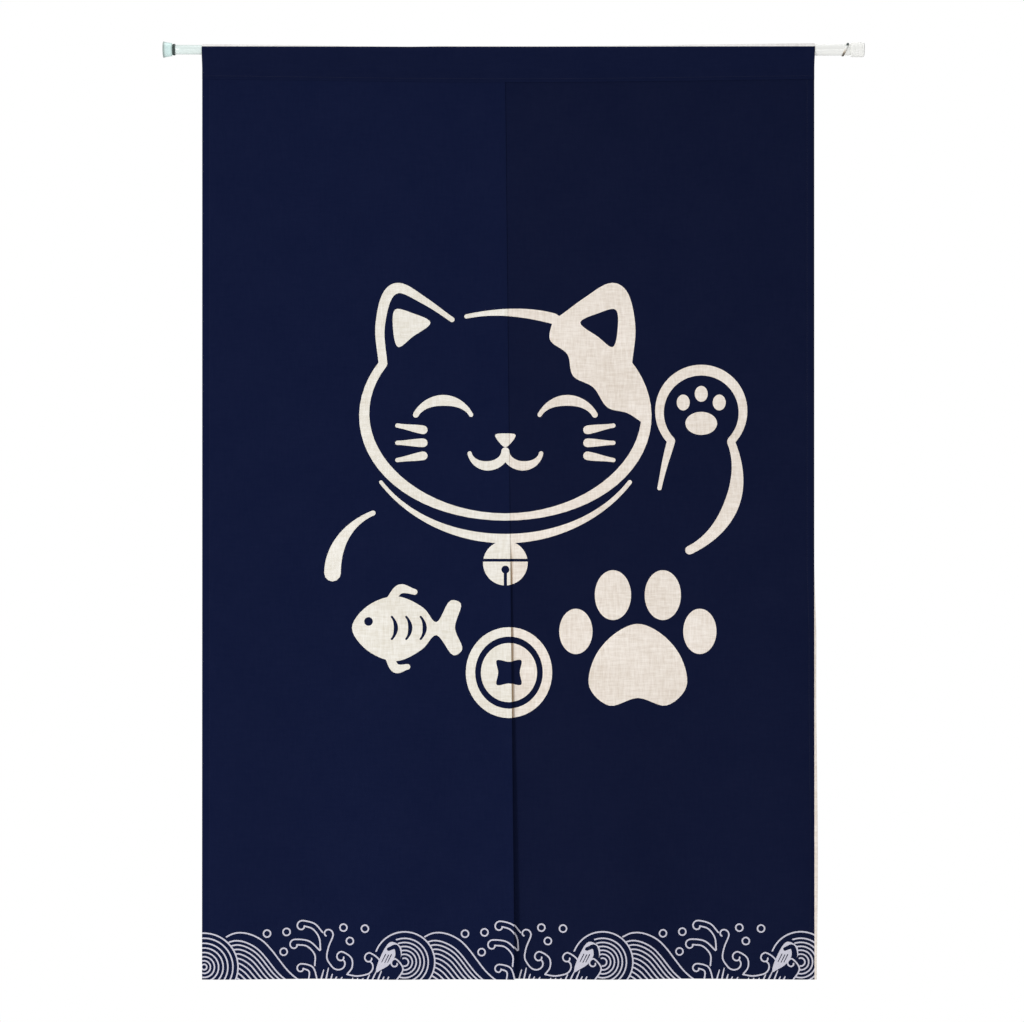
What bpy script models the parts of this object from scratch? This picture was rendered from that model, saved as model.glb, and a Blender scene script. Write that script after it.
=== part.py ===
"""Noren curtain on a telescopic tension rod.

Two linen panels hang from one heading, a strip that is folded over the rod and
sewn shut under it. The left panel laps in front of the right one.

Units are metres. The origin is the centre of the left end cap's outer face,
+X runs along the rod, +Z is up, and the printed side of the cloth faces -Y.
"""
import math

import bmesh
import bpy

MM = 0.001

# Fits
PIECE_GAP = 0.3 * MM            # between neighbouring pieces
SLIDE_GAP = 0.5 * MM            # between the tubes, their caps and the cloth on them
MERGE = 0.00001

# Rod, left to right
ROD_LENGTH = 973 * MM           # between the outer faces of the two end caps
ROD_SAG = 4.5 * MM              # how far the middle of the rod bows down
THIN_RADIUS = 6.5 * MM
THICK_RADIUS = 8.0 * MM
TUBE_WALL = 0.8 * MM
THIN_END = 560 * MM             # the thin tube's end, inside the thick tube
THICK_START = 400 * MM
SOCKET_FLOOR = 5.0 * MM         # cap's outer face to the tube's end
SIDES = 24                      # facets round a turned piece or tube
SHARP_ANGLE = math.radians(35)  # edges sharper than this stay crisp
TUBE_STEPS = 16

# Left end: a flared cap and a rubber ring
LEFT_CAP_LENGTH = 13.0 * MM
LEFT_CAP_FACE_RADIUS = 10.9 * MM
LEFT_CAP_RIM_RADIUS = 11.5 * MM
LEFT_CAP_WAIST_RADIUS = 8.9 * MM
LEFT_CAP_EDGE = 0.7 * MM        # chamfer at both ends
# The flare between rim and waist: (share of the cap's length from its face,
# share of the way from the waist's radius out to the rim's)
LEFT_CAP_FLARE = (
    (0.32, 0.65),
    (0.62, 0.23),
)
LEFT_RING_WIDTH = 3.4 * MM
LEFT_RING_RADIUS = 8.1 * MM

RING_CORNER_SHARE = 0.3         # share of a ring's wall that its corners take off

# Right end: a ribbed cap and a slanted ring
RIGHT_CAP_LENGTH = 18.5 * MM
RIGHT_CAP_RADIUS = 10.4 * MM
RIGHT_CAP_GROOVE = 0.5 * MM     # depth of a groove between two ribs
RIGHT_CAP_RIBS = 3
RIGHT_CAP_RIB_SHARE = 0.68      # share of the pitch that a rib takes; the rest is groove
RIGHT_CAP_EDGE = 1.2 * MM       # chamfer at both ends
RIGHT_RING_CENTRE = 947.0 * MM
RIGHT_RING_WIDTH = 3.0 * MM
RIGHT_RING_RADIUS = 9.4 * MM
RIGHT_RING_SLANT = 0.40         # metres along X for each metre of height

# Cloth
CLOTH_THICKNESS = 1.0 * MM
CLOTH_LEFT = 54 * MM
CLOTH_WIDTH = 850 * MM
CLOTH_BOTTOM = -1291 * MM
HEADING_DROP = 41 * MM          # rod's axis to the heading's lower edge
PINCH_DROP = 27 * MM            # rod's axis to where the heading's two layers meet
PANEL_TUCK = 12 * MM            # length of panel held between the layers
STEP_EASE = 50 * MM             # length over which the cloth climbs onto the thick tube
STEP_CLEAR = 10 * MM            # it is fully up this far before the thick tube starts
LAP_EDGE_TOP = 475 * MM         # left panel's inner edge at the heading, in front
LAP_EDGE_BOTTOM = 488 * MM      # and at the hem: the slit drifts to the right
LAP_TOP = 7 * MM                # how far the right panel reaches behind the left one
LAP_BOTTOM = 12 * MM
HEADING_STEPS = 24
LEG_STEPS = 6
ARC_STEPS = 8
PANEL_COLUMNS = 16
PANEL_ROWS = 28

# The unprinted selvedge that shows beside the right panel's lower half
SELVEDGE_START = 0.54           # share of the panel's height, from the top
SELVEDGE_EASE = 0.10            # share over which it grows to its full width
SELVEDGE_WIDTH = 3.6 * MM
SELVEDGE_WAVE = 1.0 * MM
SELVEDGE_WAVES = 2.6            # waves down the panel

# Soft hanging folds, from none at the first share of a panel's height to full
# depth at the second.
FOLDS_START = 0.45
FOLDS_FULL = 1.0
# Each row is one fold of a panel:
# (place across the panel 0-1, half-width as a share of the panel, depth at the
#  hem in metres with + towards the viewer, how far it drifts across by the hem)
LEFT_FOLDS = (
    (0.05, 0.12, 0.0035, 0.02),
    (0.33, 0.15, -0.0050, 0.05),
    (0.66, 0.13, 0.0045, -0.05),
    (1.00, 0.12, 0.0030, 0.00),
)
RIGHT_FOLDS = (
    (0.00, 0.13, -0.0045, 0.00),
    (0.30, 0.14, 0.0045, 0.04),
    (0.62, 0.15, -0.0050, -0.03),
    (0.97, 0.10, 0.0035, -0.02),
)

# Colours are linear RGB: (red, green, blue), roughness, metallic
FINISHES = {
    "navy_linen": ((0.0056, 0.0091, 0.0319), 0.90, 0.0),
    "white_enamel": ((0.80, 0.84, 0.83), 0.30, 0.2),
    "white_plastic": ((0.72, 0.80, 0.78), 0.40, 0.0),
    "dark_rubber": ((0.030, 0.050, 0.047), 0.70, 0.0),
    "grey_plastic": ((0.50, 0.49, 0.46), 0.50, 0.0),
}


def smooth(share):
    """Ease from 0 to 1 with level ends."""
    share = min(max(share, 0.0), 1.0)
    return share * share * (3.0 - 2.0 * share)


def blend(start, end, share):
    return start + (end - start) * share


# ------------------------------------------------------------------ the scene

def clear_scene():
    for obj in list(bpy.data.objects):
        bpy.data.objects.remove(obj, do_unlink=True)


def make_material(node_name, finish):
    colour, roughness, metallic = FINISHES[finish]
    material = bpy.data.materials.new(node_name + "_" + finish)
    material.use_nodes = True
    shader = material.node_tree.nodes["Principled BSDF"]
    shader.inputs["Base Color"].default_value = (*colour, 1.0)
    shader.inputs["Roughness"].default_value = roughness
    shader.inputs["Metallic"].default_value = metallic
    material.diffuse_color = (*colour, 1.0)
    return material


def add_object(name, data, finish, collection):
    data.materials.append(make_material(name, finish))
    obj = bpy.data.objects.new(name, data)
    collection.objects.link(obj)
    return obj


def add_solidify(obj, thickness, offset):
    """Give an open surface its thickness: offset 0 is centred, -1 is inwards."""
    solidify = obj.modifiers.new("thickness", "SOLIDIFY")
    solidify.thickness = thickness
    solidify.offset = offset
    solidify.use_even_offset = True


# -------------------------------------------------------------------- the rod

def rod_height(x):
    """Height of the rod's axis: a bar pressed level between two walls bows down."""
    share = x / ROD_LENGTH
    return -ROD_SAG * 16.0 * (share * (1.0 - share)) ** 2


def make_tube(name, start, end, radius, collection):
    """A hollow tube along the bowed axis."""
    curve = bpy.data.curves.new(name, "CURVE")
    curve.dimensions = "3D"
    curve.bevel_depth = radius
    curve.bevel_resolution = SIDES // 2 - 2
    spline = curve.splines.new("POLY")
    spline.points.add(TUBE_STEPS)
    for index, point in enumerate(spline.points):
        x = blend(start, end, index / TUBE_STEPS)
        point.co = (x, 0.0, rod_height(x), 1.0)
    tube = add_object(name, curve, "white_enamel", collection)
    add_solidify(tube, TUBE_WALL, -1.0)
    return tube


def make_turned(name, profile, ring, finish, collection, slant=0.0):
    """Spin (x, radius) points about the X axis; a ring's profile closes on itself."""
    mesh = bpy.data.meshes.new(name)
    form = bmesh.new()
    points = [form.verts.new((x, 0.0, radius)) for x, radius in profile]
    edges = [form.edges.new(pair) for pair in zip(points, points[1:])]
    if ring:
        edges.append(form.edges.new((points[-1], points[0])))
    bmesh.ops.spin(form, geom=points + edges, cent=(0, 0, 0), axis=(1, 0, 0),
                   angle=math.tau, steps=SIDES, use_merge=True)
    bmesh.ops.remove_doubles(form, verts=form.verts, dist=MERGE)
    for vert in form.verts:
        vert.co.x += slant * vert.co.z
    bmesh.ops.recalc_face_normals(form, faces=form.faces)
    form.to_mesh(mesh)
    form.free()
    mesh.shade_smooth()
    mesh.set_sharp_from_angle(angle=SHARP_ANGLE)
    return add_object(name, mesh, finish, collection)


def make_left_cap(collection):
    """A cap that flares from its waist to the face that presses on the wall."""
    socket = THIN_RADIUS + SLIDE_GAP
    flare = [
        (LEFT_CAP_LENGTH * along, blend(LEFT_CAP_WAIST_RADIUS, LEFT_CAP_RIM_RADIUS, out))
        for along, out in reversed(LEFT_CAP_FLARE)
    ]
    profile = (
        (SOCKET_FLOOR - PIECE_GAP, 0.0),
        (SOCKET_FLOOR - PIECE_GAP, socket),
        (LEFT_CAP_LENGTH, socket),
        (LEFT_CAP_LENGTH, LEFT_CAP_WAIST_RADIUS - LEFT_CAP_EDGE),
        (LEFT_CAP_LENGTH - LEFT_CAP_EDGE, LEFT_CAP_WAIST_RADIUS),
        *flare,
        (2 * LEFT_CAP_EDGE, LEFT_CAP_RIM_RADIUS),
        (LEFT_CAP_EDGE, LEFT_CAP_RIM_RADIUS),
        (0.0, LEFT_CAP_FACE_RADIUS),
        (0.0, 0.0),
    )
    return make_turned("left_cap", profile, False, "white_plastic", collection)


def make_right_cap(collection):
    """A nearly straight cap with shallow ribs round it."""
    socket = THICK_RADIUS + SLIDE_GAP
    inner_end = ROD_LENGTH - RIGHT_CAP_LENGTH
    ribs_start = inner_end + RIGHT_CAP_EDGE
    rib_pitch = (RIGHT_CAP_LENGTH - 2 * RIGHT_CAP_EDGE) / RIGHT_CAP_RIBS
    ribs = []
    for index in range(RIGHT_CAP_RIBS):
        rib_start = ribs_start + index * rib_pitch
        ribs.append((rib_start, RIGHT_CAP_RADIUS))
        rib_end = rib_start + rib_pitch * RIGHT_CAP_RIB_SHARE
        groove = blend(rib_end, rib_start + rib_pitch, 0.5)
        ribs.append((rib_end, RIGHT_CAP_RADIUS))
        ribs.append((groove, RIGHT_CAP_RADIUS - RIGHT_CAP_GROOVE))
    profile = (
        (ROD_LENGTH - SOCKET_FLOOR + PIECE_GAP, 0.0),
        (ROD_LENGTH - SOCKET_FLOOR + PIECE_GAP, socket),
        (inner_end, socket),
        (inner_end, RIGHT_CAP_RADIUS - RIGHT_CAP_EDGE),
        *ribs,
        (ROD_LENGTH - RIGHT_CAP_EDGE, RIGHT_CAP_RADIUS),
        (ROD_LENGTH, RIGHT_CAP_RADIUS - RIGHT_CAP_EDGE),
        (ROD_LENGTH, 0.0),
    )
    return make_turned("right_cap", profile, False, "white_plastic", collection)


def ring_profile(centre, width, inner, outer):
    """The section of a ring with its outer corners taken off."""
    half = width / 2
    corner = (outer - inner) * RING_CORNER_SHARE
    return (
        (centre - half, inner),
        (centre - half, outer - corner),
        (centre - half + corner, outer),
        (centre + half - corner, outer),
        (centre + half, outer - corner),
        (centre + half, inner),
    )


def make_rings(collection):
    left_centre = LEFT_CAP_LENGTH + PIECE_GAP + LEFT_RING_WIDTH / 2
    left_profile = ring_profile(left_centre, LEFT_RING_WIDTH,
                                THIN_RADIUS + SLIDE_GAP, LEFT_RING_RADIUS)
    make_turned("left_ring", left_profile, True, "dark_rubber", collection)
    right_profile = ring_profile(RIGHT_RING_CENTRE, RIGHT_RING_WIDTH,
                                 THICK_RADIUS + SLIDE_GAP, RIGHT_RING_RADIUS)
    make_turned("right_ring", right_profile, True, "grey_plastic", collection,
                slant=RIGHT_RING_SLANT)


def make_rod(collection):
    make_tube("thin_tube", SOCKET_FLOOR, THIN_END, THIN_RADIUS, collection)
    make_tube("thick_tube", THICK_START, ROD_LENGTH - SOCKET_FLOOR, THICK_RADIUS, collection)
    make_left_cap(collection)
    make_right_cap(collection)
    make_rings(collection)


# ------------------------------------------------------------------ the cloth

def make_sheet(name, columns, rows, place, collection):
    """A grid whose points are set by place(across, down), then thickened."""
    mesh = bpy.data.meshes.new(name)
    form = bmesh.new()
    bmesh.ops.create_grid(form, x_segments=columns, y_segments=rows, size=0.5)
    for vert in form.verts:
        vert.co = place(vert.co.x + 0.5, 0.5 - vert.co.y)
    form.to_mesh(mesh)
    form.free()
    mesh.shade_smooth()
    sheet = add_object(name, mesh, "navy_linen", collection)
    add_solidify(sheet, CLOTH_THICKNESS, 0.0)
    return sheet


def heading_section(x):
    """(y, z) points of the heading's middle surface at x, front edge to back edge."""
    loop_radius = THICK_RADIUS + SLIDE_GAP + CLOTH_THICKNESS / 2
    # Each layer lies outside both panels, which lie one behind the other.
    layer_y = 1.5 * CLOTH_THICKNESS + 1.5 * PIECE_GAP
    axis = rod_height(x)
    # The loop rests on top of the rod, which steps up where the thick tube starts.
    step = smooth((x - THICK_START + STEP_CLEAR + STEP_EASE) / STEP_EASE)
    rod_top = axis + blend(THIN_RADIUS, THICK_RADIUS, step)
    loop_centre = rod_top - THICK_RADIUS
    front = []
    for index in range(2):
        front.append((layer_y, axis - blend(HEADING_DROP, PINCH_DROP, index / 2)))
    for index in range(LEG_STEPS):
        share = index / LEG_STEPS
        height = blend(axis - PINCH_DROP, loop_centre, share)
        front.append((blend(layer_y, loop_radius, smooth(share)), height))
    arc = []
    for index in range(ARC_STEPS + 1):
        turn = math.pi * index / ARC_STEPS
        arc.append((-loop_radius * math.cos(turn), loop_centre + loop_radius * math.sin(turn)))
    legs_front = [(-y, z) for y, z in front]
    return legs_front + arc + list(reversed(front))


def make_heading(collection):
    stations = []
    for index in range(HEADING_STEPS + 1):
        x = CLOTH_LEFT + CLOTH_WIDTH * index / HEADING_STEPS
        stations.append((x, heading_section(x)))
    section_steps = len(stations[0][1]) - 1

    def place(across, down):
        x, section = stations[round(across * HEADING_STEPS)]
        y, z = section[round(down * section_steps)]
        return x, y, z

    return make_sheet("heading", HEADING_STEPS, section_steps, place, collection)


def fold_depth(folds, across, down):
    """How far a panel bulges towards the viewer: nothing at the top, most at the hem."""
    depth = 0.0
    for centre, half_width, hem_depth, drift in folds:
        offset = (across - centre - drift * down) / half_width
        depth += hem_depth * math.exp(-offset * offset)
    return depth * smooth((down - FOLDS_START) / (FOLDS_FULL - FOLDS_START))


def panel_height(x, down):
    """Height at a share of the way down, from inside the heading to the hem."""
    top = rod_height(x) - HEADING_DROP + PANEL_TUCK
    return blend(top, CLOTH_BOTTOM, down)


def lap_edge(down):
    """The left panel's inner edge, where the slit shows."""
    return blend(LAP_EDGE_TOP, LAP_EDGE_BOTTOM, down)


def make_left_panel(collection):
    layer_y = (CLOTH_THICKNESS + PIECE_GAP) / 2

    def place(across, down):
        x = blend(CLOTH_LEFT, lap_edge(down), across)
        y = -layer_y - fold_depth(LEFT_FOLDS, across, down)
        return x, y, panel_height(x, down)

    return make_sheet("left_panel", PANEL_COLUMNS, PANEL_ROWS, place, collection)


def selvedge_width(down):
    """Width of the unprinted edge that shows beside the right panel."""
    grown = smooth((down - SELVEDGE_START) / SELVEDGE_EASE)
    wave = math.sin(math.tau * SELVEDGE_WAVES * down)
    return grown * (SELVEDGE_WIDTH + SELVEDGE_WAVE * wave)


def make_right_panel(collection):
    layer_y = (CLOTH_THICKNESS + PIECE_GAP) / 2

    def place(across, down):
        inner_edge = lap_edge(down) - blend(LAP_TOP, LAP_BOTTOM, down)
        outer_edge = CLOTH_LEFT + CLOTH_WIDTH + selvedge_width(down)
        x = blend(inner_edge, outer_edge, across)
        y = layer_y - fold_depth(RIGHT_FOLDS, across, down)
        return x, y, panel_height(x, down)

    return make_sheet("right_panel", PANEL_COLUMNS, PANEL_ROWS, place, collection)


def main():
    clear_scene()
    collection = bpy.data.collections.new("noren_curtain")
    bpy.context.scene.collection.children.link(collection)
    make_rod(collection)
    make_heading(collection)
    make_left_panel(collection)
    make_right_panel(collection)


main()
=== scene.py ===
"""Looks of a noren curtain on a tension rod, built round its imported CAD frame.

Units are metres in the CAD's own axes: +X along the rod, +Z up, and the printed
side of the cloth faces -Y.
"""
import math

import bmesh
import bpy
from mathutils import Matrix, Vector
from mathutils.geometry import delaunay_2d_cdt


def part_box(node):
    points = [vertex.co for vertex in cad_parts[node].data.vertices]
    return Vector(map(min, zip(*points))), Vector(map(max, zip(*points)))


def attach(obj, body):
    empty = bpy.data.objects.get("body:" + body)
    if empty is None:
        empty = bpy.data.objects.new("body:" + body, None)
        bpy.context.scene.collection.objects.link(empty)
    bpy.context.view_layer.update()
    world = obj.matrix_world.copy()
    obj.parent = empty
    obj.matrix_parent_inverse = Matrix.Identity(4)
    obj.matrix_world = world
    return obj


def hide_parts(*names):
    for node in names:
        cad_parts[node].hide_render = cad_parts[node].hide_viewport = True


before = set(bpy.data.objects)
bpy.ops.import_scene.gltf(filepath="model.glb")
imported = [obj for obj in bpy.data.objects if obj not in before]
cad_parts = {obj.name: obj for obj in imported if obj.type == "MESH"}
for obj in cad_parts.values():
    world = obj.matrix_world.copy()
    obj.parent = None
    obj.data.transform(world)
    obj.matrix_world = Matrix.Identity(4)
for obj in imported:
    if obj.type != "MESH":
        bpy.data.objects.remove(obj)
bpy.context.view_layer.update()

MM = 0.001

# --- sizes from the frame
LEFT_CAP_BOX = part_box("left_cap")
LEFT_RING_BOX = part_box("left_ring")
RIGHT_CAP_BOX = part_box("right_cap")
THIN_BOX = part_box("thin_tube")
THICK_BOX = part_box("thick_tube")
HEADING_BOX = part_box("heading")
LEFT_PANEL_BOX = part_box("left_panel")

ROD_LENGTH = RIGHT_CAP_BOX[1].x
THIN_RADIUS = THIN_BOX[1].y
THICK_RADIUS = THICK_BOX[1].y
CLOTH_LEFT = HEADING_BOX[0].x
CLOTH_RIGHT = HEADING_BOX[1].x
CLOTH_BOTTOM = LEFT_PANEL_BOX[0].z

# The CAD's own cloth sizes, repeated here
ROD_SAG = 4.5 * MM
SLIDE_GAP = 0.5 * MM
PIECE_GAP = 0.3 * MM
CAD_THICKNESS = 1.0 * MM
HEADING_DROP = 41 * MM
PINCH_DROP = 27 * MM
PANEL_TUCK = 12 * MM
STEP_EASE = 50 * MM
STEP_CLEAR = 10 * MM
LAP_EDGE_TOP = 475 * MM
LAP_EDGE_BOTTOM = 488 * MM
LAP_TOP = 7 * MM
LAP_BOTTOM = 12 * MM
SLIT_START = 0.515  # share of the way down where the slit's edges part
SLIT_EASE = 0.04
SLIT_CURL = 1.5 * MM  # how far each edge curls away from the other
SLIT_CURL_WIDTH = 7 * MM
SELVEDGE_START = 0.54
SELVEDGE_EASE = 0.10
SELVEDGE_WIDTH = 3.6 * MM
SELVEDGE_WAVE = 1.0 * MM
SELVEDGE_WAVES = 2.6
FOLDS_START = 0.45
FOLDS_FULL = 1.0
# (place across the panel 0-1, half-width as a share of the panel, depth at the
# hem in metres with + towards the viewer, how far it drifts across by the hem)
LEFT_FOLDS = ((0.05, 0.12, 0.0035, 0.02), (0.33, 0.15, -0.005, 0.05),
              (0.66, 0.13, 0.0045, -0.05), (1.0, 0.12, 0.003, 0.0))
RIGHT_FOLDS = ((0.0, 0.13, -0.0045, 0.0), (0.30, 0.14, 0.0045, 0.04),
               (0.62, 0.15, -0.005, -0.03), (0.97, 0.10, 0.0035, -0.02))

# --- cloth detail
THICKNESS = 0.6 * MM
EDGE_ROUND = 0.4 * MM  # radius of the cloth's rounded folded edges
HEM_EXTRA = 0.35 * MM  # a hem's second layer, on the back
HEM_OUTER = 12 * MM  # hem widths
HEM_INNER = 20 * MM
HEM_BOTTOM = 18 * MM
STITCH_INSET = 2 * MM  # stitch line inside the hem's inner fold
STITCH_TROUGH = 0.28 * MM
STITCH_TROUGH_WIDTH = 1.1 * MM
STITCH_PITCH = 3.4 * MM
STITCH_LENGTH = 2.6 * MM
STITCH_RADIUS = 0.18 * MM
HEADING_STITCH = 5 * MM  # stitch line above the heading's lower edge
PRINT_TOP = 3.3 * MM  # height where the navy print starts on the heading
GRID_PITCH = 10 * MM
RIM_GUIDE = 0.15 * MM  # a row of points this close inside a rounded edge
TOP_GUIDE = 1 * MM  # where guide lines start below a panel's top


def smooth(share):
    share = min(max(share, 0.0), 1.0)
    return share * share * (3.0 - 2.0 * share)


def blend(start, end, share):
    return start + (end - start) * share


def rows_between(start, end, pitch):
    count = max(1, round(abs(end - start) / pitch))
    return [blend(start, end, index / count) for index in range(count + 1)]


def placed(name, data):
    """A new object in the scene that holds the data."""
    made = bpy.data.objects.new(name, data)
    bpy.context.scene.collection.objects.link(made)
    return made


def meshed(name, form, material):
    """A new smooth object with the form's mesh and a material."""
    mesh = bpy.data.meshes.new(name)
    form.to_mesh(mesh)
    form.free()
    mesh.shade_smooth()
    mesh.materials.append(material)
    return placed(name, mesh)


def stand_for(piece, node):
    """The piece takes the CAD node's place."""
    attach(piece, "root")
    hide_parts(node)


# --- the camera's view
VIEW_WIDTH = 1422 * MM
VIEW_CENTRE = Vector((484.2 * MM, 0.0, -640.7 * MM))
CAMERA_DISTANCE = 4.2
SENSOR_WIDTH = 36.0


def make_camera():
    data = bpy.data.cameras.new("camera")
    data.sensor_width = SENSOR_WIDTH
    data.lens = SENSOR_WIDTH * CAMERA_DISTANCE / VIEW_WIDTH
    data.clip_end = 50.0
    camera = placed("camera", data)
    camera.location = VIEW_CENTRE - Vector((0.0, CAMERA_DISTANCE, 0.0))
    camera.rotation_euler = (math.pi / 2, 0.0, 0.0)
    bpy.context.scene.camera = camera


# --- drawing in 2D
# A drawing is a list of (outline, ink) pairs, painted in order. Outlines are
# lists of (x, z) points, and each function works in any unit.

def past(inner, end):
    """The point as far past the end as the inner one is before it."""
    return 2 * end[0] - inner[0], 2 * end[1] - inner[1]


def spline(points, closed=False, pieces=8):
    """A smooth curve through a few points, which may be unevenly spaced."""
    if closed:
        run = [points[-1], *points, *points[:2]]
    else:
        run = [past(points[1], points[0]), *points, past(points[-2], points[-1])]
    curve = []
    for near in zip(run, run[1:], run[2:], run[3:]):
        before_gap, gap, after_gap = [math.sqrt(math.dist(*pair)) for pair in zip(near, near[1:])]
        for index in range(pieces):
            t = index / pieces
            place = []
            for before, start, end, after in zip(*near):
                slope = (end - start) / gap
                leave = (start - before) / before_gap + slope
                leave -= (end - before) / (before_gap + gap)
                arrive = slope + (after - end) / after_gap
                arrive -= (after - start) / (gap + after_gap)
                bend = leave * t * (1.0 - t) ** 2 - arrive * t * t * (1.0 - t)
                place.append(blend(start, end, smooth(t)) + gap * bend)
            curve.append(tuple(place))
    if not closed:
        curve.append(tuple(points[-1]))
    return curve


def spiral(centre, first, last, start, end, steps=10, squash=1.0):
    """Points round a centre, from one radius and angle in degrees to another."""
    curve = []
    for index in range(steps + 1):
        turn = math.radians(blend(start, end, index / steps))
        radius = blend(first, last, index / steps)
        curve.append((centre[0] + radius * math.cos(turn),
                      centre[1] + squash * radius * math.sin(turn)))
    return curve


def arc(centre, radius, start, end, steps=24, height=None):
    """Points on a circle, or an ellipse with its own height, from start to end degrees."""
    return spiral(centre, radius, radius, start, end, steps, (height or radius) / radius)


def disc(centre, radius, height=None, steps=48):
    return arc(centre, radius, 0, 360, steps, height)[:-1]


def stroke(path, widths, cap_steps=5):
    """The outline of a brush stroke along a path, its widths spread evenly, round ended."""
    count = len(path)
    left, right, headings = [], [], []
    for index, (x, z) in enumerate(path):
        ahead = path[min(index + 1, count - 1)]
        behind = path[max(index - 1, 0)]
        heading = math.atan2(ahead[1] - behind[1], ahead[0] - behind[0])
        place = index / (count - 1) * (len(widths) - 1)
        low = min(int(place), len(widths) - 2)
        half = 0.5 * blend(widths[low], widths[low + 1], smooth(place - low))
        side = (-math.sin(heading) * half, math.cos(heading) * half)
        left.append((x + side[0], z + side[1]))
        right.append((x - side[0], z - side[1]))
        headings.append((heading, half))
    caps = []
    for end, start in ((-1, -90), (0, 90)):
        heading, half = headings[end]
        turn = math.degrees(heading) + start
        caps.append(arc(path[end], half, turn, turn + 180, cap_steps + 1)[1:-1])
    return right + caps[0] + left[::-1] + caps[1]


def area(outline):
    pairs = zip(outline, outline[1:] + outline[:1])
    return 0.5 * sum(first[0] * second[1] - second[0] * first[1] for first, second in pairs)


def moved(drawing, x, z, scale=1.0):
    """The drawing scaled, then moved."""
    return [([(x + scale * px, z + scale * pz) for px, pz in outline], ink)
            for outline, ink in drawing]


# --- the printed cat, in millimetres
# A plain beckoning cat on ellipses and arcs. Its origin is the middle of the face.
# Only the left half of the face is drawn: the right half mirrors it.
NAVY = "navy"
BARE = "bare"
LINE = "line"
CAT_CENTRE = (475 * MM, -515 * MM)
HEAD_CENTRE = (0, 8)
HEAD_SIZE = (196, 142)  # half-width and half-height
COLLAR_SIZE = (206, 172)  # of the ellipse that the collar's lower edge follows
EAR_START = 150  # where the ear's outer edge leaves the head, in degrees
EAR = ((-170, 79), (-174, 130), (-162, 176), (-148, 184), (-112, 166), (-74, 140))
INNER_EAR = ((-153, 154), (-156, 128), (-149, 102), (-129, 116), (-104, 136), (-129, 149))
PATCH_EDGE = ((66, 140), (62, 112), (86, 92), (94, 62), (122, 46), (142, 18), (170, 10), (194, -6))
NOSE = ((-14, -20), (0, -18), (14, -20), (8, -31), (0, -37), (-8, -31))
PAW_CENTRE = (272, 12)
PAW_RADIUS = 58
BELL_CENTRE = (0, -198)
BELL_RADIUS = 31


def brushed(path, widths, ink=BARE):
    return stroke(spline(path), widths), ink


def swept(centre, size, start, end, widths):
    """A brush stroke along an ellipse of the given half-width and half-height."""
    return stroke(arc(centre, size[0], start, end, 48, size[1]), widths), BARE


def filled(path, ink=BARE):
    return spline(path, closed=True, pieces=6), ink


def mirrored(drawing, ink=None):
    """The drawing's other half, in its own inks or all in one."""
    return [([(-x, z) for x, z in outline], ink or own) for outline, own in drawing]


def cat_head():
    """A round head with a crown line, two ears and a patch over the right one."""
    ear = [brushed(EAR, (12, 15, 7))]
    inner_ear = [filled(INNER_EAR)]
    patch = arc(HEAD_CENTRE, HEAD_SIZE[0] + 6, -4, 70, 24, HEAD_SIZE[1] + 6) + spline(PATCH_EDGE)
    return [
        swept(HEAD_CENTRE, HEAD_SIZE, EAR_START, 540 - EAR_START, (12, 16, 10, 16, 12)),
        swept(HEAD_CENTRE, HEAD_SIZE, 106, 70, (6, 15)),
        *ear,
        *mirrored(ear),
        (patch, BARE),
        *mirrored([(spline(EAR), BARE)]),
        *inner_ear,
        *mirrored(inner_ear, NAVY),
    ]


def cat_face():
    """Closed smiling eyes, a nose, a mouth of two arcs and three whiskers a side."""
    half = [
        swept((-86, -6), (42, 34), 24, 156, (6, 15, 8)),
        swept((-25, -42), (25, 21), 190, 358, (6, 13, 11)),
    ]
    # (height of a whisker's inner end, how far its outer end rises)
    for height, rise in ((-13, 6), (-31, 0), (-49, -6)):
        half.append(brushed([(-114, height), (-150, height + rise)], (12, 6)))
    return [filled(NOSE), *half, *mirrored(half)]


def cat_collar():
    """A line under the chin and a round bell with a band and a slot."""
    x, z = BELL_CENTRE
    return [
        swept(HEAD_CENTRE, COLLAR_SIZE, 213, 327, (5, 13, 6)),
        (disc(BELL_CENTRE, BELL_RADIUS), BARE),
        (stroke([(x - BELL_RADIUS - 2, z + 4), (x + BELL_RADIUS + 2, z + 4)], (4, 4)), NAVY),
        (disc((x, z - 9), 5.5, steps=36), NAVY),
        (stroke([(x, z - 9), (x, z - BELL_RADIUS - 2)], (4.5, 4.5)), NAVY),
    ]


def cat_arms():
    """A shoulder on the left, and on the right a raised arm that shows its paw's pads."""
    x, z = PAW_CENTRE
    drawing = [
        swept((-150, -212), (90, 90), 180, 112, (23, 7)),
        swept(PAW_CENTRE, (PAW_RADIUS, PAW_RADIUS), -44, 224, (11, 15, 11)),
        swept((204, -74), (118, 118), 22, -64, (11, 21, 12)),
        brushed([(x - 42, z - 41), (x - 51, z - 74), (x - 58, z - 106)], (11, 6)),
        (disc((x, z - 16), 22, 16), BARE),
    ]
    for pad_x, pad_z in ((-25, 13), (0, 25), (25, 13)):
        drawing.append((disc((x + pad_x, z + pad_z), 9, 11, steps=36), BARE))
    return drawing


def fish():
    """A plain fish, about 150 long, nose to the left."""
    scales = [(stroke(arc((x, 0), 24, -40, 40), (3, 6, 3)), NAVY) for x in (-38, -18, 2)]
    return [
        filled([(-75, 0), (-54, 30), (-14, 44), (24, 28), (42, 8), (62, 38), (76, 34), (68, 0),
                (78, -30), (66, -38), (42, -10), (22, -30), (-14, -46), (-54, -31)]),
        brushed([(-22, 38), (-8, 54), (12, 50)], (12, 13, 8)),
        brushed([(-24, -38), (-14, -56), (2, -54)], (12, 13, 8)),
        (disc((-52, 9), 6), NAVY),
        *scales,
    ]


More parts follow.
